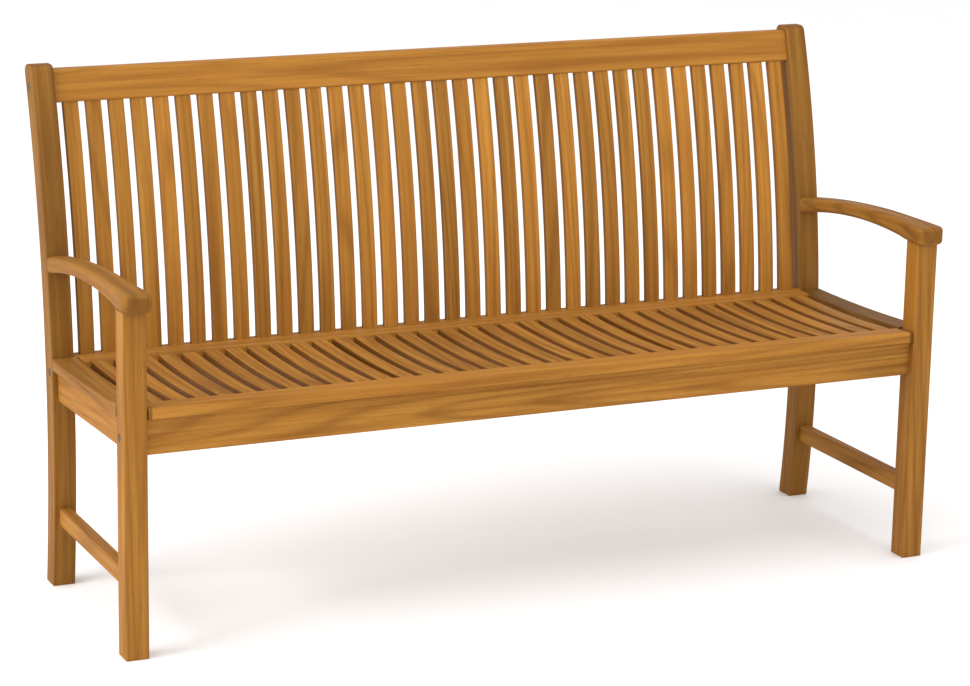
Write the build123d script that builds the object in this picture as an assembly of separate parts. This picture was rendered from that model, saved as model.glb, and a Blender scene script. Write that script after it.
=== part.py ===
from build123d import *

# Garden bench for three people, in solid teak: two side frames with arched arms, joined by
# a front apron, a lower back rail and a crest rail, with a dished slatted seat panel and a
# slatted back. X runs along the bench, +Y to the back, +Z up, all sizes in millimetres.
# While it is modelled, X is 0 at mid length and Y is 0 at the front face of the front legs.
# The last step moves every piece, so that the origin is the bottom centre of the whole bench.
# The left half is modelled, and the right half is its mirror image.
import math
import os

# ---- legs and posts ----
bench_length = 1520.0         # over the outer faces of the legs
leg_width = 40.0              # along X
leg_depth = 40.0              # front to back
leg_edge_radius = 2.5
front_leg_height = 584.5      # up to the underside of the arm
post_height = 906.0
post_top_radius = 13.0

# ---- rake: the faces of a post are arcs about one centre, behind the bench ----
rake_radius = 2060.0          # front face of the post
rake_front_y = 392.0          # where that face comes furthest forward
rake_front_z = 262.0

# ---- crest rail and lower back rail ----
crest_thickness = 24.0
crest_offset = 7.0            # behind the front face of the post
crest_height = 55.0
crest_drop = 9.0              # top of the crest rail, below the top of the post
crest_edge_radius = 3.0
lower_rail_thickness = 26.0
lower_rail_offset = 1.0
lower_rail_height = 55.0
lower_rail_rise = 2.0         # top of the lower rail, above the lowest line of the seat
lower_rail_edge_radius = 2.0

# ---- slats ----
slat_count = 35               # in the back, and as many in the seat
slat_width = 27.0
slat_edge_radius = 1.5
back_slat_thickness = 12.0
back_slat_offset = 10.0       # behind the front face of the post
slat_housing = 10.0           # how far a back slat enters each rail
seat_slat_thickness = 14.0
seat_tenon_length = 10.0
seat_tenon_thickness = 7.0
seat_tenon_shoulder = 4.0     # on top and at each edge of the slat

# ---- dished seat panel ----
seat_low_z = 413.0            # lowest line of the slats
seat_low_y = 265.0
seat_radius = 2850.0
seat_front_rail_depth = 50.0
seat_rear_rail_depth = 36.0
seat_gap = 2.0                # from the panel to the legs, the posts and the lower rail
seat_nose_radius = 6.0
seat_edge_radius = 2.0
end_rail_width = 45.0
end_rail_radius = 4118.0
end_rail_low_y = 343.0
end_rail_rise = 1.2           # lowest line of the end rail, above the lowest line of the slats
end_rail_tongue = 6.0         # the part that runs forward beside the front leg
panel_under_drop = 7.6        # underside of the panel at Y 0, below the lowest line of the slats
panel_under_slope = 0.0288    # fall of that underside for each mm to the back
stub_length = 4.0             # stub tenon of the front rail
stub_setback = 12.0           # from the front face of the rail
rear_tenon_length = 22.0
panel_tenon_thickness = 8.0
panel_tenon_shoulder = 6.0

# ---- aprons, bearers and stretchers ----
board_thickness = 20.0
side_board_inset = 10.0       # from the outer face of the leg
apron_inset = 13.0            # front apron, from the front face of the leg
apron_height = 62.0
side_apron_front_height = 54.0
side_apron_rear_height = 56.0
board_edge_radius = 1.5
stretcher_bottom_z = 114.0
stretcher_height = 31.0
apron_tenon_length = 8.0
stretcher_tenon_length = 20.0
tenon_thickness = 10.0
tenon_shoulder = 5.0
bearer_slats = 6.5            # slat pitches from mid length to a bearer, so it stands under a gap
bearer_width = 30.0
bearer_height = 30.0
bearer_tenon_length = 8.0

# ---- arms ----
arm_overhang = 16.0           # in front of the leg
arm_top_rise = 34.0           # highest point of the upper face, above the front leg
arm_top_y = 75.0
arm_top_radius = 2000.0
arm_under_rise = 6.0          # highest point of the lower face, above the front leg
arm_under_y = 165.0
arm_under_radius = 1050.0
arm_flare_inside = 9.0        # how far the front end grows past the leg
arm_flare_outside = 6.0
arm_flare_y = 70.0            # where the flare starts
arm_nose_bevel = 6.0          # slope under the front edge of the upper face, rounded with it
arm_corner_radius = 14.0      # the two front corners, seen from above
arm_edge_radius = 8.0

# ---- fixings ----
fit_gap = 0.15                # round a tenon, a housed slat, a dowel, a bolt or a screw
tenon_end_gap = 0.5
bolt_diameter = 8.0
bolt_length = 92.0
bolt_head_diameter = 13.0
bolt_head_height = 3.0
bolt_socket_radius = 2.9
bolt_socket_depth = 2.0
bolt_recess_diameter = 14.0
bolt_recess_depth = 5.0
washer_thickness = 1.0
nut_diameter = 10.0
nut_length = 15.0
nut_inset = 44.0              # from the end of the rail
dowel_diameter = 8.0
dowel_length = 25.0
dowel_clearance = 1.25        # from the inner end of a dowel to the side of the first back slat
apron_dowel_spread = 19.0     # up and down from the bolt
lower_dowel_spread = 16.0
crest_dowel_spread = 16.0
arm_dowel_length = 32.0
arm_dowel_spread = 8.0        # either side of the middle of the leg
arm_rear_dowel_drop = 14.0    # below the upper face of the arm, at the post
screw_diameter = 4.5
screw_length = 38.0
screw_grip = 13.0             # how far a screw enters the seat panel
screw_head_diameter = 8.5
screw_head_height = 3.0
screw_recess_diameter = 10.0
side_screw_y = (125.0, 300.0)

# ---- worked out from the sizes above ----
outer_x = -bench_length / 2
inner_x = outer_x + leg_width
leg_mid_x = outer_x + leg_width / 2
board_low_x = outer_x + side_board_inset
board_high_x = board_low_x + board_thickness
end_rail_inner_x = outer_x + end_rail_width
tongue_outer_x = inner_x + seat_gap
tongue_inner_x = tongue_outer_x + end_rail_tongue
rake_centre_y = rake_front_y + rake_radius
crest_top_z = post_height - crest_drop
crest_bottom_z = crest_top_z - crest_height
lower_rail_top_z = seat_low_z + lower_rail_rise
lower_rail_bottom_z = lower_rail_top_z - lower_rail_height
seat_centre_z = seat_low_z + seat_radius
end_rail_centre_z = seat_low_z + end_rail_rise + end_rail_radius
apron_mid_y = apron_inset + board_thickness / 2
apron_back_y = apron_inset + board_thickness
beyond = 300.0                # reach of a cutting shape past the wood


def rake_y(offset, z):
    """Y, at height z, of the arc that lies offset behind the front face of the post."""
    radius = rake_radius - offset
    return rake_centre_y - math.sqrt(radius**2 - (z - rake_front_z) ** 2)


def seat_z(depth, y):
    """Height of the dished surface that lies depth below the top of the seat slats."""
    radius = seat_radius + depth
    return seat_centre_z - math.sqrt(radius**2 - (y - seat_low_y) ** 2)


def end_rail_z(y):
    return end_rail_centre_z - math.sqrt(end_rail_radius**2 - (y - end_rail_low_y) ** 2)


def under_z(y):
    """Height of the underside of the seat panel."""
    return seat_low_z - panel_under_drop - panel_under_slope * y


def arm_top_z(y):
    centre_z = front_leg_height + arm_top_rise - arm_top_radius
    return centre_z + math.sqrt(arm_top_radius**2 - (y - arm_top_y) ** 2)


def arm_under_z(y):
    centre_z = front_leg_height + arm_under_rise - arm_under_radius
    return centre_z + math.sqrt(arm_under_radius**2 - (y - arm_under_y) ** 2)


seat_rear_y = rake_y(0, under_z(rake_front_y)) - seat_gap
seat_front_y = seat_front_rail_depth
slat_rear_y = seat_rear_y - seat_rear_rail_depth
apron_bottom_z = under_z(apron_inset) - apron_height
lower_mid_offset = lower_rail_offset + lower_rail_thickness / 2
crest_mid_offset = crest_offset + crest_thickness / 2
arm_rear_y = rake_y(0, front_leg_height)


# ---- shapes that the pieces share ----
def block(x_span, y_span, z_span):
    spans = (x_span, y_span, z_span)
    size = [high - low for low, high in spans]
    middle = [(high + low) / 2 for low, high in spans]
    return Pos(*middle) * Box(*size)


def widened(span, gap=fit_gap):
    low, high = span
    return (low - gap, high + gap)


def arc_through(height, start, end):
    """An arc of the curve height(y), as points of Y and Z."""
    places = (start, (start + end) / 2, end)
    return ThreePointArc(*[(y, height(y)) for y in places])


def rake_arc(offset, start_z, end_z):
    heights = (start_z, (start_z + end_z) / 2, end_z)
    return ThreePointArc(*[(rake_y(offset, z), z) for z in heights])


def extrude_x(outline, x_span):
    """A closed outline of Y and Z points, made solid between two X values."""
    low, high = x_span
    return extrude(Plane.YZ.offset(low) * make_face(outline), high - low)


def rake_band(near, far, z_span, x_span):
    """A board bent like the posts, between two offsets behind their front face."""
    low, high = z_span
    front = rake_arc(near, low, high)
    back = rake_arc(far, high, low)
    top = Line(front @ 1, back @ 0)
    bottom = Line(back @ 1, front @ 0)
    return extrude_x(front + top + back + bottom, x_span)


def behind(offset, x_span):
    """Everything behind one arc of the rake, to trim what ends against it."""
    arc = rake_arc(offset, 0, post_height)
    reach = Vector(beyond, 0)
    outline = arc + Polyline(arc @ 1, arc @ 1 + reach, arc @ 0 + reach, arc @ 0)
    return extrude_x(outline, widened(x_span, 1))


def polygon_x(points, x_span):
    return extrude_x(Polyline(*points, close=True), x_span)


def rod(radius, start, end):
    axis = Vector(*end) - Vector(*start)
    rising = Cylinder(radius, axis.length, align=(Align.CENTER, Align.CENTER, Align.MIN))
    return Plane(origin=start, z_dir=axis) * rising


def eased(solid, radius, axis=Axis.X):
    """Rounds the edges that run along one axis."""
    return fillet(solid.edges().filter_by(axis), radius)


def slat_places(low, high):
    """Middle X of each slat, with equal gaps between slats and at both ends."""
    gap = (high - low - slat_count * slat_width) / (slat_count + 1)
    return [low + gap + slat_width / 2 + n * (slat_width + gap) for n in range(slat_count)]


seat_places = slat_places(end_rail_inner_x, -end_rail_inner_x)
back_places = slat_places(inner_x, -inner_x)
bearer_x = bearer_slats * (seat_places[1] - seat_places[0])


# ---- legs and posts ----
def front_leg():
    leg = block((outer_x, inner_x), (0, leg_depth), (0, front_leg_height))
    leg = fillet(leg.edges().filter_by(Axis.Z) + leg.faces().sort_by(Axis.Z)[0].edges(), leg_edge_radius)
    leg -= side_apron_tenons(fit_gap, tenon_end_gap)
    leg -= stretcher_tenons(fit_gap, tenon_end_gap)
    leg -= bolt_hole(*bolt_places()[0])
    leg -= [dowel_hole(*place) for place in apron_dowels()]
    leg -= [dowel_hole(*place) for place in arm_front_dowels()]
    return leg


def rear_post():
    post = rake_band(0, leg_depth, (0, post_height), (outer_x, inner_x))
    top = post.edges().filter_by(Axis.X).group_by(Axis.Z)[-1]
    post = fillet(top, post_top_radius)
    sides = post.faces().filter_by(Axis.X)
    feet = post.edges().filter_by(Axis.X).group_by(Axis.Z)[0]
    post = fillet(sides[0].edges() + sides[1].edges() + feet, leg_edge_radius)
    post -= side_apron_tenons(fit_gap, tenon_end_gap)
    post -= stretcher_tenons(fit_gap, tenon_end_gap)
    post -= [bolt_hole(*place) for place in bolt_places()[1:]]
    post -= [dowel_hole(*place) for place in lower_rail_dowels() + crest_dowels() + arm_rear_dowels()]
    return post


# ---- rails of the back, and the front apron: drawn over the full length ----
def rail_fixings(bolt_number, dowels, nut_hole):
    left = [bolt_hole(*bolt_places()[bolt_number]), nut_hole]
    left += [dowel_hole(*place) for place in dowels]
    return left + [mirror(hole, Plane.YZ) for hole in left]


def crest_rail():
    rail = rake_band(crest_offset, crest_offset + crest_thickness, (crest_bottom_z, crest_top_z),
                     (inner_x, -inner_x))
    rail = eased(rail, crest_edge_radius)
    rail -= [back_slat_body(x, fit_gap) for x in back_places]
    return rail - rail_fixings(2, crest_dowels(), nut_hole(2))


def lower_back_rail():
    rail = rake_band(lower_rail_offset, lower_rail_offset + lower_rail_thickness,
                     (lower_rail_bottom_z, lower_rail_top_z), (inner_x, -inner_x))
    rail = eased(rail, lower_rail_edge_radius)
    rail -= [back_slat_body(x, fit_gap) for x in back_places]
    rail -= bearer_tenons(fit_gap, tenon_end_gap)
    return rail - rail_fixings(1, lower_rail_dowels(), nut_hole(1))


def front_apron():
    front, back = apron_inset, apron_back_y
    corners = [(front, apron_bottom_z), (back, apron_bottom_z),
               (back, under_z(back)), (front, under_z(front))]
    board = polygon_x(corners, (inner_x, -inner_x))
    board = fillet(board.edges().filter_by(Axis.X).group_by(Axis.Z)[0], board_edge_radius)
    board -= bearer_tenons(fit_gap, tenon_end_gap)
    return board - rail_fixings(0, apron_dowels(), nut_hole(0))


# ---- back slats ----
def back_slat_body(x, gap=0.0):
    span = widened((x - slat_width / 2, x + slat_width / 2), gap)
    heights = (lower_rail_top_z - slat_housing, crest_bottom_z + slat_housing)
    slat = rake_band(back_slat_offset - gap, back_slat_offset + back_slat_thickness + gap, heights, span)
    return slat if gap else fillet(slat.edges(), slat_edge_radius)


# ---- sides: apron, stretcher ----
def side_apron():
    front = leg_depth
    rear = rake_y(0, front_leg_height)
    corners = [(front, under_z(front) - side_apron_front_height),
               (rear, under_z(rear) - side_apron_rear_height), (rear, under_z(rear)), (front, under_z(front))]
    board = polygon_x(corners, (board_low_x, board_high_x))
    bottom = board.faces().sort_by(Axis.Z)[0].edges().filter_by(Axis.X, reverse=True)
    long_edges = [e for e in bottom if e.length > leg_depth]
    board = fillet(long_edges, board_edge_radius)
    board -= behind(0, (board_low_x, board_high_x))
    board += side_apron_tenons(0, 0)
    return board - [screw_hole(leg_mid_x, y) for y in side_screw_y]


def side_apron_tenons(gap, end_gap):
    """Stub tenons of the side apron, in the leg and in the post."""
    x_span = widened((leg_mid_x - tenon_thickness / 2, leg_mid_x + tenon_thickness / 2), gap)
    rear = rake_y(0, under_z(rake_front_y) - side_apron_rear_height / 2)
    front_z = under_z(leg_depth)
    rear_z = under_z(rear)
    front_low = front_z - side_apron_front_height + tenon_shoulder
    front = block(x_span, (leg_depth - apron_tenon_length - end_gap, leg_depth + 1),
                  widened((front_low, front_z - tenon_shoulder), gap))
    back = block(x_span, (rear - tenon_shoulder, rear + apron_tenon_length + end_gap),
                 widened((rear_z - side_apron_rear_height + tenon_shoulder, rear_z - tenon_shoulder), gap))
    return [front, back]


def side_stretcher():
    span = (stretcher_bottom_z, stretcher_bottom_z + stretcher_height)
    bar = block((board_low_x, board_high_x), (leg_depth, rake_y(0, 0)), span)
    bar = fillet(bar.edges().filter_by(Axis.Y), board_edge_radius)
    bar -= behind(0, (board_low_x, board_high_x))
    return bar + stretcher_tenons(0, 0)


def stretcher_tenons(gap, end_gap):
    x_span = widened((leg_mid_x - tenon_thickness / 2, leg_mid_x + tenon_thickness / 2), gap)
    low = stretcher_bottom_z + tenon_shoulder
    z_span = widened((low, low + stretcher_height - 2 * tenon_shoulder), gap)
    rear = rake_y(0, stretcher_bottom_z + stretcher_height / 2)
    front = block(x_span, (leg_depth - stretcher_tenon_length - end_gap, leg_depth + 1), z_span)
    back = block(x_span, (rear - tenon_shoulder, rear + stretcher_tenon_length + end_gap), z_span)
    return [front, back]


# ---- seat bearers, front to back under the slats ----
def seat_bearer():
    x_span = (-bearer_x - bearer_width / 2, -bearer_x + bearer_width / 2)
    front = apron_back_y
    rear = rake_y(lower_rail_offset, 0)
    corners = [(front, under_z(front) - bearer_height), (rear, under_z(rear) - bearer_height),
               (rear, under_z(rear)), (front, under_z(front))]
    bearer = polygon_x(corners, x_span) - behind(lower_rail_offset, x_span)
    bearer += bearer_tenons(0, 0)[:2]
    return bearer - [screw_hole(-bearer_x, y) for y in bearer_screw_y()]


def bearer_tenons(gap, end_gap):
    """Stub tenons of both bearers, the left pair first."""
    x_span = widened((-bearer_x - tenon_thickness / 2, -bearer_x + tenon_thickness / 2), gap)
    rear = rake_y(lower_rail_offset, under_z(slat_rear_y) - bearer_height / 2)
    front_z = under_z(apron_back_y)
    rear_z = under_z(rear)
    front = block(x_span, (apron_back_y - bearer_tenon_length - end_gap, apron_back_y + 1),
                  widened((front_z - bearer_height + tenon_shoulder, front_z - tenon_shoulder), gap))
    back = block(x_span, (rear - tenon_shoulder, rear + bearer_tenon_length + end_gap),
                 widened((rear_z - bearer_height + tenon_shoulder, rear_z - tenon_shoulder), gap))
    left = [front, back]
    return left + [mirror(tenon, Plane.YZ) for tenon in left]


def bearer_screw_y():
    return ((apron_back_y + seat_front_y) / 2, (slat_rear_y + seat_rear_y) / 2)


# ---- seat panel ----
def panel_profile(start, end):
    """Outline of the panel between two Y values: dished above, straight below."""
    top = arc_through(lambda y: seat_z(0, y), start, end)
    return top + Polyline(top @ 1, (end, under_z(end)), (start, under_z(start)), top @ 0)


def seat_front_rail():
    rail = extrude_x(panel_profile(0, seat_front_y), (tongue_inner_x, -tongue_inner_x))
    edges = rail.edges().filter_by(Axis.X)
    nose = edges.group_by(Axis.Y)[0]
    upper = nose.sort_by(Axis.Z)[-1]
    rail = fillet(upper, seat_nose_radius)
    lower = rail.edges().filter_by(Axis.X).group_by(Axis.Y)[0].sort_by(Axis.Z)[0]
    rail = fillet(lower, seat_edge_radius)
    rail += front_stubs(0, 0)
    rail -= [seat_slat_tenon(x, fit_gap, tenon_end_gap) for x in seat_places]
    return rail - [pilot_hole(x, bearer_screw_y()[0]) for x in (-bearer_x, bearer_x)]


def seat_rear_rail():
    x_span = (end_rail_inner_x, -end_rail_inner_x)
    rail = extrude_x(panel_profile(slat_rear_y, seat_rear_y), x_span)
    back_top = rail.edges().filter_by(Axis.X).group_by(Axis.Y)[-1].sort_by(Axis.Z)[-1]
    rail = fillet(back_top, seat_edge_radius)
    rail += rear_tenons(0, 0)
    rail -= [seat_slat_tenon(x, fit_gap, tenon_end_gap) for x in seat_places]
    return rail - [pilot_hole(x, bearer_screw_y()[1]) for x in (-bearer_x, bearer_x)]


def front_stubs(gap, end_gap):
    """Stub tenons at both ends of the front rail, housed in the tongues of the end rails."""
    start = tongue_inner_x - stub_length - end_gap
    z_low = under_z(0) + panel_tenon_shoulder
    left = block((start, tongue_inner_x + 1), widened((stub_setback, leg_depth), gap),
                 widened((z_low, z_low + panel_tenon_thickness), gap))
    return [left, mirror(left, Plane.YZ)]


def rear_tenons(gap, end_gap):
    start = end_rail_inner_x - rear_tenon_length - end_gap
    z_low = under_z(seat_rear_y) + panel_tenon_shoulder
    left = block((start, end_rail_inner_x + 1),
                 widened((slat_rear_y + panel_tenon_shoulder, seat_rear_y - panel_tenon_shoulder), gap),
                 widened((z_low, z_low + panel_tenon_thickness), gap))
    return [left, mirror(left, Plane.YZ)]


def seat_end_rail():
    front = leg_depth + seat_gap
    top = arc_through(end_rail_z, front, seat_rear_y)
    under = Polyline(top @ 1, (seat_rear_y, under_z(seat_rear_y)), (front, under_z(front)), top @ 0)
    rail = extrude_x(top + under, (outer_x, end_rail_inner_x))
    upper = rail.faces().sort_by(Axis.Z)[-1].edges().filter_by(Axis.X, reverse=True)
    rail = fillet(upper, seat_edge_radius)
    tongue = extrude_x(panel_profile(0, seat_front_y), (tongue_outer_x, tongue_inner_x))
    nose = tongue.edges().filter_by(Axis.X).group_by(Axis.Y)[0].sort_by(Axis.Z)[-1]
    rail += fillet(nose, seat_nose_radius)
    rail -= front_stubs(fit_gap, tenon_end_gap)
    rail -= rear_tenons(fit_gap, tenon_end_gap)
    return rail - [pilot_hole(leg_mid_x, y) for y in side_screw_y]


def seat_slat_tenon(x, gap, end_gap):
    """The two tenons of a slat, as one bar that the panel's dish bends."""
    half = slat_width / 2 - seat_tenon_shoulder
    front = arc_bar(seat_front_y - seat_tenon_length - end_gap, seat_front_y + 1, gap)
    back = arc_bar(slat_rear_y - 1, slat_rear_y + seat_tenon_length + end_gap, gap)
    x_span = widened((x - half, x + half), gap)
    return extrude_x(front, x_span) + extrude_x(back, x_span)


def arc_bar(start, end, gap):
    top = arc_through(lambda y: seat_z(seat_tenon_shoulder - gap, y), start, end)
    bottom = arc_through(lambda y: seat_z(seat_tenon_shoulder + seat_tenon_thickness + gap, y), end, start)
    return top + Line(top @ 1, bottom @ 0) + bottom + Line(bottom @ 1, top @ 0)


def seat_slats():
    x_span = (-slat_width / 2, slat_width / 2)
    top = arc_through(lambda y: seat_z(0, y), seat_front_y, slat_rear_y)
    bottom = arc_through(lambda y: seat_z(seat_slat_thickness, y), slat_rear_y, seat_front_y)
    slat = extrude_x(top + Line(top @ 1, bottom @ 0) + bottom + Line(bottom @ 1, top @ 0), x_span)
    slat = fillet(slat.edges(), slat_edge_radius) + seat_slat_tenon(0, 0, 0)
    return Compound([Pos(x, 0, 0) * slat for x in seat_places])


# ---- arms ----
def arm():
    front = -arm_overhang
    rear = arm_rear_y + leg_depth
    bevel_y = front + arm_nose_bevel
    drop = arm_under_radius - arm_under_rise
    flat_end = arm_under_y - math.sqrt(arm_under_radius**2 - drop**2)
    under = arc_through(arm_under_z, flat_end, rear)
    over = arc_through(arm_top_z, rear, bevel_y)
    nose = [over @ 1, (front, arm_top_z(bevel_y) - arm_nose_bevel), (front, front_leg_height), under @ 0]
    outline = under + Line(under @ 1, over @ 0) + over + Polyline(*nose)
    body = extrude_x(outline, (outer_x - leg_width, inner_x + leg_width)) & arm_plan(front, rear)
    body = fillet([e for e in body.edges() if is_rounded_edge(e, rear)], arm_edge_radius)
    body -= behind(0, (outer_x - leg_width, inner_x + leg_width))
    return body - [dowel_hole(*ends) for ends in arm_front_dowels() + arm_rear_dowels()]


def is_rounded_edge(edge, rear):
    """Every edge of the arm but the upright ones and those of its rear end."""
    start, end = edge @ 0, edge @ 1
    upright = abs(start.Z - end.Z) > arm_edge_radius and abs(start.Y - end.Y) < arm_nose_bevel / 2
    return not upright and (edge @ 0.5).Y < rear - 1


def arm_plan(front, rear):
    """The arm seen from above: as wide as the leg, and a little wider at the rounded front end."""
    corners = [(outer_x, rear), (outer_x, arm_flare_y), (outer_x - arm_flare_outside, front),
               (inner_x + arm_flare_inside, front), (inner_x, arm_flare_y), (inner_x, rear)]
    face = make_face(Polyline(*corners, close=True))
    face = fillet(face.vertices().group_by(Axis.Y)[0], arm_corner_radius)
    return extrude(Plane.XY.offset(seat_low_z) * face, post_height - seat_low_z)


# ---- bolts: number 0 in the front leg, 1 and 2 in the post ----
def bolt_places():
    lower_z = (lower_rail_bottom_z + lower_rail_top_z) / 2
    crest_z = (crest_bottom_z + crest_top_z) / 2
    apron_z = under_z(apron_inset) - apron_height / 2
    return [(apron_mid_y, apron_z), (rake_y(lower_mid_offset, lower_z), lower_z),
            (rake_y(crest_mid_offset, crest_z), crest_z)]


def bolt_hole(y, z):
    """Recess for head and washer, and a clear hole to the end of the bolt."""
    floor = outer_x + bolt_recess_depth
    end = floor + bolt_length
    recess = rod(bolt_recess_diameter / 2, (outer_x - 1, y, z), (floor, y, z))
    return recess + rod(bolt_diameter / 2 + fit_gap, (outer_x, y, z), (end, y, z))


def bolt(y, z):
    seat = outer_x + bolt_recess_depth - washer_thickness
    top = seat - bolt_head_height
    head = rod(bolt_head_diameter / 2, (top, y, z), (seat, y, z))
    head = fillet(head.edges().group_by(Axis.X)[0], bolt_head_height / 4)
    socket = Plane(origin=(top, y, z), z_dir=(1, 0, 0)) * RegularPolygon(bolt_socket_radius, 6)
    head -= extrude(socket, bolt_socket_depth)
    return head + rod(bolt_diameter / 2, (seat, y, z), (seat + bolt_length, y, z))


def washer(y, z):
    floor = outer_x + bolt_recess_depth
    disc = rod(bolt_head_diameter / 2, (floor - washer_thickness, y, z), (floor, y, z))
    return disc - rod(bolt_diameter / 2 + fit_gap, (floor - 2 * washer_thickness, y, z), (floor + 1, y, z))


def nut_ends(y, z):
    x = inner_x + nut_inset
    return ((x, y - nut_length / 2, z), (x, y + nut_length / 2, z))


def barrel_nut(y, z):
    start, end = nut_ends(y, z)
    nut = rod(nut_diameter / 2, start, end)
    x = inner_x + nut_inset
    return nut - rod(bolt_diameter / 2 + fit_gap, (x - nut_diameter, y, z), (x + nut_diameter, y, z))


def nut_hole(number):
    """Bored from the back of the rail, as deep as the front end of the nut."""
    start, end = nut_ends(*bolt_places()[number])
    return rod(nut_diameter / 2 + fit_gap, start, (end[0], end[1] + leg_depth, end[2]))


# ---- dowels: each is given by its two ends ----
def dowel_hole(start, end):
    return rod(dowel_diameter / 2 + fit_gap, start, end)


def dowel(start, end):
    return rod(dowel_diameter / 2, start, end)


def along_x(y, z):
    tip = back_places[0] - slat_width / 2 - dowel_clearance
    return ((tip - dowel_length, y, z), (tip, y, z))


def apron_dowels():
    y, z = bolt_places()[0]
    return [along_x(y, z + step) for step in (-apron_dowel_spread, apron_dowel_spread)]


def lower_rail_dowels():
    z = bolt_places()[1][1]
    heights = (z - lower_dowel_spread, z + lower_dowel_spread)
    return [along_x(rake_y(lower_mid_offset, h), h) for h in heights]


def crest_dowels():
    z = bolt_places()[2][1]
    heights = (z - crest_dowel_spread, z + crest_dowel_spread)
    return [along_x(rake_y(crest_mid_offset, h), h) for h in heights]


def arm_front_dowels():
    y = leg_depth / 2
    low = front_leg_height - arm_dowel_length / 2
    sides = (leg_mid_x - arm_dowel_spread, leg_mid_x + arm_dowel_spread)
    return [((x, y, low), (x, y, low + arm_dowel_length)) for x in sides]


def arm_rear_dowels():
    z = arm_top_z(arm_rear_y) - arm_rear_dowel_drop
    middle = rake_y(0, z)
    sides = (leg_mid_x - arm_dowel_spread, leg_mid_x + arm_dowel_spread)
    return [((x, middle - arm_dowel_length / 2, z), (x, middle + arm_dowel_length / 2, z)) for x in sides]


# ---- screws that hold the seat panel, driven from below ----
def screw_levels(y):
    """Tip, underside of the head, and bottom of the head."""
    tip = under_z(y) + screw_grip
    seat = tip - screw_length
    return tip, seat, seat - screw_head_height


def screw(x, y):
    tip, seat, bottom = screw_levels(y)
    head = rod(screw_head_diameter / 2, (x, y, bottom), (x, y, seat))
    return head + rod(screw_diameter / 2, (x, y, seat), (x, y, tip))


def screw_hole(x, y):
    tip, seat, bottom = screw_levels(y)
    shank = rod(screw_diameter / 2 + fit_gap, (x, y, bottom), (x, y, tip))
    return shank + rod(screw_recess_diameter / 2, (x, y, bottom - beyond), (x, y, seat))


def pilot_hole(x, y):
    tip, seat, bottom = screw_levels(y)
    return rod(screw_diameter / 2 + fit_gap, (x, y, bottom), (x, y, tip))


# ---- the whole bench ----
def both_sides(solids):
    solids = list(solids)
    return Compound(solids + [mirror(solid, Plane.YZ) for solid in solids])


pieces = {}
for name, make in (("front_leg", front_leg), ("rear_post", rear_post), ("arm", arm),
                   ("seat_end_rail", seat_end_rail), ("side_apron", side_apron),
                   ("side_stretcher", side_stretcher), ("seat_bearer", seat_bearer)):
    left = make()
    pieces[name + "_left"] = left
    pieces[name + "_right"] = mirror(left, Plane.YZ)
for name, make in (("crest_rail", crest_rail), ("lower_back_rail", lower_back_rail),
                   ("front_apron", front_apron), ("seat_front_rail", seat_front_rail),
                   ("seat_rear_rail", seat_rear_rail), ("seat_slats", seat_slats)):
    pieces[name] = make()
middle_slat = back_slat_body(0)
for number, x in enumerate(back_places, start=1):
    pieces[f"back_slat_{number:02d}"] = Pos(x, 0, 0) * middle_slat
pieces["frame_bolts"] = both_sides(bolt(*place) for place in bolt_places())
pieces["bolt_washers"] = both_sides(washer(*place) for place in bolt_places())
pieces["barrel_nuts"] = both_sides(barrel_nut(*place) for place in bolt_places())
pieces["seat_panel_screws"] = both_sides(
    [screw(leg_mid_x, y) for y in side_screw_y] + [screw(-bearer_x, y) for y in bearer_screw_y()])
pieces["frame_dowels"] = both_sides(
    dowel(*ends) for ends in apron_dowels() + lower_rail_dowels() + crest_dowels()
    + arm_front_dowels() + arm_rear_dowels())

boxes = [piece.bounding_box() for piece in pieces.values()]
front_y = min(box.min.Y for box in boxes)
back_y = max(box.max.Y for box in boxes)
to_origin = Pos(0, -(front_y + back_y) / 2, 0)

os.makedirs("parts", exist_ok=True)
for name, piece in pieces.items():
    export_step(to_origin * piece, f"parts/{name}.step")
print(len(pieces), "nodes, depth", round(back_y - front_y, 1), "front at", round(front_y, 2))
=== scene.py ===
import math
import random

import bpy
from mathutils import Matrix, Vector


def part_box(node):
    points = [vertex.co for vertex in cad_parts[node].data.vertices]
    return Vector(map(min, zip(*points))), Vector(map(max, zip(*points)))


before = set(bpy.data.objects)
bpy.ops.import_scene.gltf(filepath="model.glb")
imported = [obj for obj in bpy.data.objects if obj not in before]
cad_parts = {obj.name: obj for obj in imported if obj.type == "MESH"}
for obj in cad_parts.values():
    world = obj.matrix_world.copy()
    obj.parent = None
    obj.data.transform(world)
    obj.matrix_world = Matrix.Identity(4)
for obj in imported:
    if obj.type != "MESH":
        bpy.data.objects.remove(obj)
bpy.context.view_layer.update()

print("frame loaded:", len(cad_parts), "nodes")
draw = random.Random(11)


class Wire:   # one socket in a material, with the usual arithmetic
    def __init__(self, tree, socket):
        self.tree, self.socket = tree, socket

    def math(self, operation, other=None, first=None):
        left = self if first is None else first
        values = [left] if other is None else [left, other]
        return node(self.tree, "ShaderNodeMath", {"operation": operation}, values)

    def __add__(self, other):
        return self.math("ADD", other)

    def __radd__(self, other):
        return self.math("ADD", other)

    def __sub__(self, other):
        return self.math("SUBTRACT", other)

    def __rsub__(self, other):
        return self.math("SUBTRACT", self, first=other)

    def __mul__(self, other):
        return self.math("MULTIPLY", other)

    def __rmul__(self, other):
        return self.math("MULTIPLY", other)

    def __truediv__(self, other):
        return self.math("DIVIDE", other)

    def __rtruediv__(self, other):
        return self.math("DIVIDE", self, first=other)

    def __pow__(self, other):
        return self.math("POWER", other)

    def __abs__(self):
        return self.math("ABSOLUTE")


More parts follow.
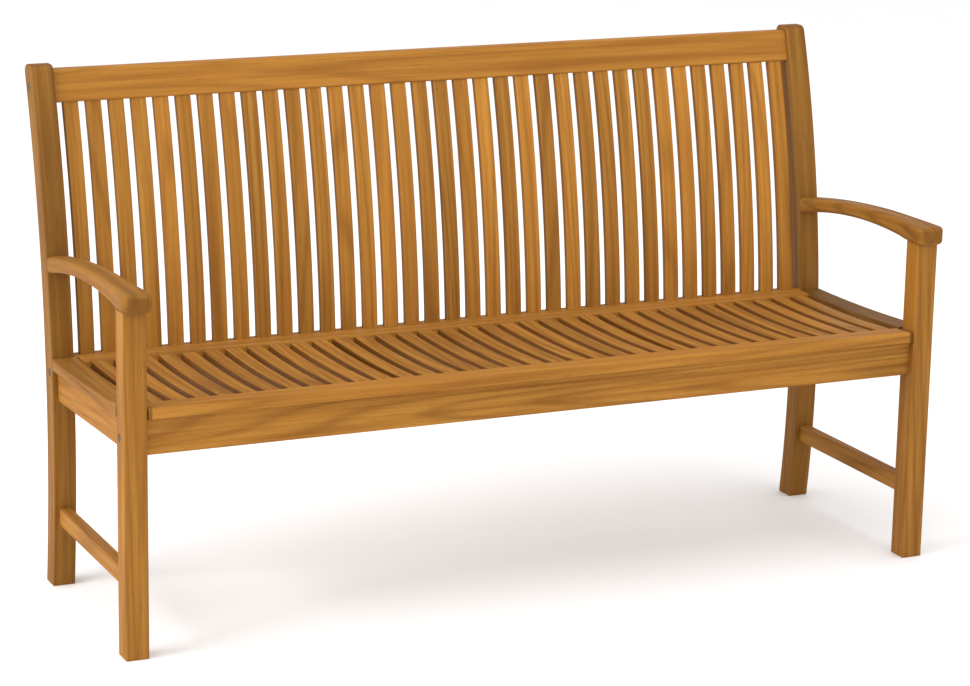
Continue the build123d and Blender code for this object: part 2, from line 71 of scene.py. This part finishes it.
def node(tree, kind, settings=None, inputs=None, out=0):
    made = tree.nodes.new(kind)
    for name, value in (settings or {}).items():
        if name == "stops":
            for number, (place, colour) in enumerate(value):
                ramp = made.color_ramp.elements
                stop = ramp[number] if number < len(ramp) else ramp.new(place)
                stop.position, stop.color = place, (*colour, 1.0)
        else:
            setattr(made, name, value)
    pairs = inputs.items() if isinstance(inputs, dict) else enumerate(inputs or [])
    for name, value in pairs:
        if isinstance(value, Wire):
            tree.links.new(value.socket, made.inputs[name])
        else:
            made.inputs[name].default_value = value
    return Wire(tree, made.outputs[out])


def parts(vector):   # the X, Y and Z of a vector
    split = vector.tree.nodes.new("ShaderNodeSeparateXYZ")
    vector.tree.links.new(vector.socket, split.inputs[0])
    return [Wire(vector.tree, side) for side in split.outputs]


def join(tree, x, y, z):
    return node(tree, "ShaderNodeCombineXYZ", {}, [x, y, z])


def blend(tree, factor, first, second, way="MIX"):   # two colours
    return node(tree, "ShaderNodeMix", {"data_type": "RGBA", "blend_type": way},
                {0: factor, 6: first, 7: second}, out=2)


def noise(vector, scale, detail=2.0, rough=0.5):
    values = {"Vector": vector, "Scale": scale, "Detail": detail, "Roughness": rough}
    return node(vector.tree, "ShaderNodeTexNoise", {}, values)


def clamped(value, start, end):   # 0 at start, 1 at end
    values = {"Value": value, "From Min": start, "From Max": end}
    return node(value.tree, "ShaderNodeMapRange", {"clamp": True}, values)


def newMaterial(name):
    material = bpy.data.materials.new(name)
    material.use_nodes = True
    tree = material.node_tree
    shader = next(n for n in tree.nodes if n.type == "BSDF_PRINCIPLED")
    return material, tree, shader


# Teak. Grain runs along one axis of each piece; the bend keeps it true in what is curved.
teak = {
    "light": (0.440, 0.202, 0.032), "mid": (0.310, 0.122, 0.017), "dark": (0.120, 0.037, 0.004),
    # The side wall colour is painted shade for the narrow sides of the slats in the gaps between
    # them.
    "endGrain": (0.230, 0.080, 0.009), "gapShadeColour": (0.110, 0.034, 0.005), "ringScale": 7.0,
    "ringCount": 150.0, "fibreScale": 260.0, "poreScale": 900.0, "roughness": 0.58, "bump": 0.30,
    "bumpDepth": 0.0004, "specular": 0.12,
    "ringStretch": 0.06, "fibreStretch": 0.012, "streakStretch": 0.03, "poreStretch": 0.03,
    "cloudStretch": 0.4, "streakScale": 95.0, "cloudScale": 7.0,
    "ringDark": 0.36, "fibreDark": 0.45, "poreDark": 0.40, "cloudBrown": 0.35, "endDark": 0.60,
    "cloudShade": 0.35, "slatShade": 0.16, "slatJump": 40.0, "slatShift": 7.0,
}
rake = {"radius": 2.06, "lowZ": 0.262}
arch = {"radius": 2.0, "topY": -0.183}


def grainSpace(tree, axis, bend, seed):   # across, across, along
    place = node(tree, "ShaderNodeTexCoord", {}, {}, out=3)
    x, y, z = parts(place)
    if bend == "rake":
        lean = z - rake["lowZ"]
        y = y - lean * lean / (2 * rake["radius"])
    if bend == "arch":
        run = y - arch["topY"]
        z = z + run * run / (2 * arch["radius"])
    order = {"X": (y, z, x), "Y": (x, z, y), "Z": (x, y, z)}[axis]
    shifts = [seed.uniform(-5, 5) for _ in range(3)]
    return [side + shift for side, shift in zip(order, shifts)], x


def teakMaterial(name, axis, bend, toneAndShade, brown, slatPitch, gapShadeAmount, seed=draw):
    material, tree, shader = newMaterial(name)
    (a, b, along), x = grainSpace(tree, axis, bend, seed)
    if slatPitch:   # each slat of a group gets its own board and tone
        number = node(tree, "ShaderNodeMath", {"operation": "ROUND"}, [x / slatPitch])
        chance = node(tree, "ShaderNodeTexWhiteNoise", {"noise_dimensions": "1D"}, {"W": number})
        along = along + chance * teak["slatJump"]
        a = a + chance * teak["slatShift"]
    ringPlace = join(tree, a, b, along * teak["ringStretch"])
    rings = noise(ringPlace, teak["ringScale"], 1.0, 0.4)
    bands = (rings * teak["ringCount"]).math("SINE") * 0.5 + 0.5
    lines = bands ** 3.0
    fibre = noise(join(tree, a, b, along * teak["fibreStretch"]), teak["fibreScale"], 3.0, 0.6)
    streak = noise(join(tree, a, b, along * teak["streakStretch"]), teak["streakScale"], 2.0, 0.55)
    specks = noise(join(tree, a, b, along * teak["poreStretch"]), teak["poreScale"], 2.0, 0.6)
    pores = clamped(specks, 0.56, 0.72)
    cloud = noise(join(tree, a, b, along * teak["cloudStretch"]), teak["cloudScale"], 2.0, 0.5)
    colour = blend(tree, clamped(streak, 0.30, 0.72), (*teak["light"], 1), (*teak["mid"], 1))
    colour = blend(tree, lines * teak["ringDark"], colour, (*teak["dark"], 1))
    colour = blend(tree, clamped(fibre, 0.45, 0.85) * teak["fibreDark"], colour, (*teak["dark"], 1))
    colour = blend(tree, pores * teak["poreDark"], colour, (*teak["dark"], 1))
    browned = clamped(cloud, 0.5, 0.8) * teak["cloudBrown"] + brown
    colour = blend(tree, browned, colour, (*teak["mid"], 1))
    normal = node(tree, "ShaderNodeNewGeometry", {}, {}, out=1)
    facing = abs(parts(normal)["XYZ".index(axis)])
    atEnd = clamped(facing, 0.80, 0.97) * teak["endDark"]
    colour = blend(tree, atEnd, colour, (*teak["endGrain"], 1))
    if gapShadeAmount:   # painted shade: the narrow sides of a slat, where they face the gaps between slats, are darkened
        side = clamped(abs(parts(normal)[0]), 0.75, 0.98)
        colour = blend(tree, side * gapShadeAmount, colour, (*teak["gapShadeColour"], 1))
    # the piece's tone, which for some pieces holds painted shade
    shade = (cloud - 0.5) * teak["cloudShade"] + toneAndShade
    if slatPitch:
        shade = shade + (chance - 0.5) * teak["slatShade"]
    grey = join(tree, shade, shade, shade)
    colour = blend(tree, 1.0, colour, grey, "MULTIPLY")
    rough = teak["roughness"] + pores * 0.20 + (streak - 0.5) * 0.18
    height = fibre * 0.5 + lines * 0.18 - pores * 0.8
    bump = node(tree, "ShaderNodeBump", {}, {
        "Strength": teak["bump"], "Distance": teak["bumpDepth"], "Height": height})
    tree.links.new(colour.socket, shader.inputs["Base Color"])
    tree.links.new(rough.socket, shader.inputs["Roughness"])
    tree.links.new(bump.socket, shader.inputs["Normal"])
    shader.inputs["Specular IOR Level"].default_value = teak["specular"]
    return material


# Steel of the bolts, nuts, washers and screws, lightly scratched and dulled.
steel = {
    "bright": (0.30, 0.29, 0.27), "dull": (0.14, 0.13, 0.12), "roughness": 0.45,
    "scratchScale": 900.0, "scratchStretch": 0.1, "scratchRough": 0.22,
    "filmScale": 120.0, "filmRough": 0.15, "bump": 0.2, "bumpDepth": 0.0002,
}


def steelMaterial(name):
    material, tree, shader = newMaterial(name)
    place = node(tree, "ShaderNodeTexCoord", {}, {}, out=3)
    x, y, z = parts(place)
    scratch = noise(join(tree, x, y, z * steel["scratchStretch"]), steel["scratchScale"], 2.0, 0.6)
    film = noise(place, steel["filmScale"], 3.0, 0.6)
    colour = blend(tree, clamped(film, 0.42, 0.70), (*steel["bright"], 1), (*steel["dull"], 1))
    filmed = clamped(film, 0.45, 0.7) * steel["filmRough"]
    rough = steel["roughness"] + scratch * steel["scratchRough"] + filmed
    bump = node(tree, "ShaderNodeBump", {}, {
        "Strength": steel["bump"], "Distance": steel["bumpDepth"], "Height": scratch})
    tree.links.new(colour.socket, shader.inputs["Base Color"])
    tree.links.new(rough.socket, shader.inputs["Roughness"])
    tree.links.new(bump.socket, shader.inputs["Normal"])
    shader.inputs["Metallic"].default_value = 1.0
    return material


# Which way the grain runs, how the piece is bent, its tone, and how far the tone strays. The dark
# tones of the right seat end rail and of the rear posts are painted shade.
boards = {
    # painted shade: the rear posts get a darker tone, for the shade the seat casts on them
    "back_slat": ("Z", "rake", 1.09, 0.19), "rear_post": ("Z", "rake", 0.63, 0.03),
    "front_leg": ("Z", "none", 0.90, 0.03), "arm": ("Y", "arch", 0.72, 0.03),
    "crest_rail": ("X", "none", 1.07, 0.0), "lower_back_rail": ("X", "none", 1.0, 0.0),
    "front_apron": ("X", "none", 0.98, 0.0), "seat_front_rail": ("X", "none", 1.06, 0.0),
    # painted shade: the right seat end rail is much darker than the left one, for the shaded inner
    # face of the rail
    "seat_rear_rail": ("X", "none", 1.0, 0.0), "seat_end_rail_right": ("Y", "none", 0.45, 0.0),
    "seat_end_rail": ("Y", "none", 0.76, 0.0),
    "side_apron": ("Y", "none", 0.95, 0.03), "side_stretcher": ("Y", "none", 0.92, 0.03),
    "seat_bearer": ("Y", "none", 0.85, 0.03), "seat_slats": ("Y", "none", 0.92, 0.0),
    "frame_dowels": ("X", "none", 1.1, 0.0),
}
slatGapShade = {"seat_slats": 0.75, "back_slat": 0.45}   # how strongly painted shade darkens the narrow sides of the slats in the gaps between them
seatSlats = 35
slatBox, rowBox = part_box("back_slat_18"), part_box("seat_slats")
slatWidth, rowWidth = slatBox[1][0] - slatBox[0][0], rowBox[1][0] - rowBox[0][0]
seatPitch = (rowWidth - slatWidth) / (seatSlats - 1)


def finishFor(name):
    for kind, (axis, bend, toneAndShade, stray) in boards.items():
        if name.startswith(kind):
            pitch = seatPitch if kind == "seat_slats" else 0.0
            level = toneAndShade + draw.uniform(-stray, stray)
            # painted shade for the narrow sides of the slats, in the gaps between them
            dark = slatGapShade.get(kind, 0.0)
            return teakMaterial("teak_" + name, axis, bend, level, draw.uniform(0, 0.25), pitch, dark)
    return steelMaterial("steel_" + name)


for name in sorted(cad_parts):
    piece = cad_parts[name]
    piece.data.materials.clear()
    piece.data.materials.append(finishFor(name))
print("materials:", len(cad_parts))


# Floor, lights and camera.
paleFloor = {"size": 60.0, "dark": (0.93, 0.93, 0.93), "light": (0.96, 0.96, 0.96),
             "speckScale": 3.0, "roughness": 0.9}
worldStrength = 1.0
lampAim = (0, 0, 0.4)
lamps = {
    "key": {"place": (-5.0, -0.6, 2.6), "size": 3.0, "power": 190.0},
    "fill": {"place": (1.5, -5.0, 2.5), "size": 4.0, "power": 30.0},
    "top": {"place": (0, -1.0, 5.0), "size": 4.0, "power": 60.0},
}
view = {"place": (-2.21325, -4.75780, 1.74410), "turn": 0.41895, "down": 0.23888,
        "roll": 0.015075, "lens": 113.32, "shiftX": 0.0464, "shiftY": -0.0340}


def makeFloor():
    half = paleFloor["size"] / 2
    mesh = bpy.data.meshes.new("floor")
    mesh.from_pydata([(-half, -half, 0), (half, -half, 0), (half, half, 0), (-half, half, 0)],
                     [], [(0, 1, 2, 3)])
    floor = bpy.data.objects.new("floor", mesh)
    bpy.context.collection.objects.link(floor)
    material, tree, shader = newMaterial("pale_floor")
    speck = noise(node(tree, "ShaderNodeTexCoord", {}, {}, out=3), paleFloor["speckScale"])
    colour = blend(tree, speck, (*paleFloor["dark"], 1), (*paleFloor["light"], 1))
    tree.links.new(colour.socket, shader.inputs["Base Color"])
    shader.inputs["Roughness"].default_value = paleFloor["roughness"]
    mesh.materials.append(material)


def softLight(name, place, aim, size, power):
    lamp = bpy.data.lights.new(name, "AREA")
    lamp.shape, lamp.size, lamp.energy = "SQUARE", size, power
    light = bpy.data.objects.new(name, lamp)
    light.location = place
    light.rotation_euler = (Vector(aim) - Vector(place)).to_track_quat("-Z", "Y").to_euler()
    bpy.context.collection.objects.link(light)


def makeCamera():
    lens = bpy.data.cameras.new("camera")
    lens.sensor_width, lens.lens = 36.0, view["lens"]
    lens.shift_x, lens.shift_y = view["shiftX"], view["shiftY"]
    camera = bpy.data.objects.new("camera", lens)
    turn = Matrix.Rotation(-view["turn"], 4, "Z")
    tilt = Matrix.Rotation(math.pi / 2 - view["down"], 4, "X")
    roll = Matrix.Rotation(view["roll"], 4, "Z")
    camera.matrix_world = Matrix.Translation(view["place"]) @ turn @ tilt @ roll
    bpy.context.collection.objects.link(camera)
    bpy.context.scene.camera = camera


def makeWorld():
    world = bpy.data.worlds.new("studio")
    world.use_nodes = True
    back = next(n for n in world.node_tree.nodes if n.type == "BACKGROUND")
    back.inputs["Color"].default_value = (1, 1, 1, 1)
    back.inputs["Strength"].default_value = worldStrength
    bpy.context.scene.world = world
    bpy.context.scene.view_settings.view_transform = "Standard"


makeFloor()
makeWorld()
makeCamera()
for name, lamp in lamps.items():
    softLight(name, lamp["place"], lampAim, lamp["size"], lamp["power"])
print("studio ready")
